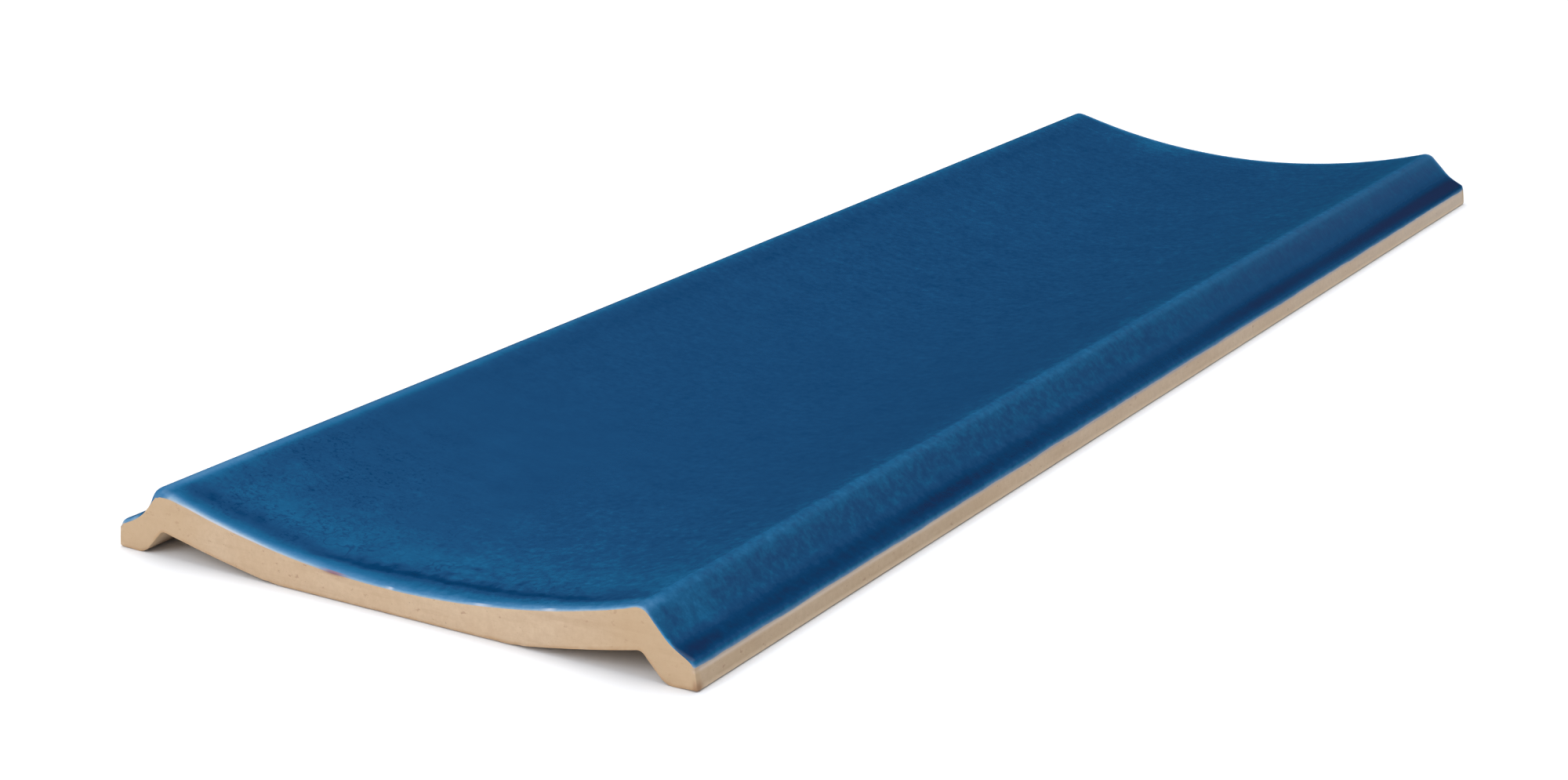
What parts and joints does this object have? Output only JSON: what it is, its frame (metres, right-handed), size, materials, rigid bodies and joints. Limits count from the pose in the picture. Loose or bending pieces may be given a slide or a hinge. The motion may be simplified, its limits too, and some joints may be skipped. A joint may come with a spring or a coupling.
{
  "type": "ceramic wall tile",
  "caption": "Long ceramic wall tile with a glazed concave face between rounded ridges, low outer flanges and a bare bedding back; clads walls with a rippled relief.",
  "frame": {"origin": "middle of the footprint, in the plane of the flat back that is bedded on the wall", "axes": "+Y along the tile's length, +X across its width, +Z out of the glazed face (away from the wall)"},
  "size_m": [0.1, 0.3, 0.0101],
  "materials": {
    "glazed_tile": "gloss"
  },
  "bodies": {
    "root": {"tile": "glazed_tile"}
  },
  "joints": []
}
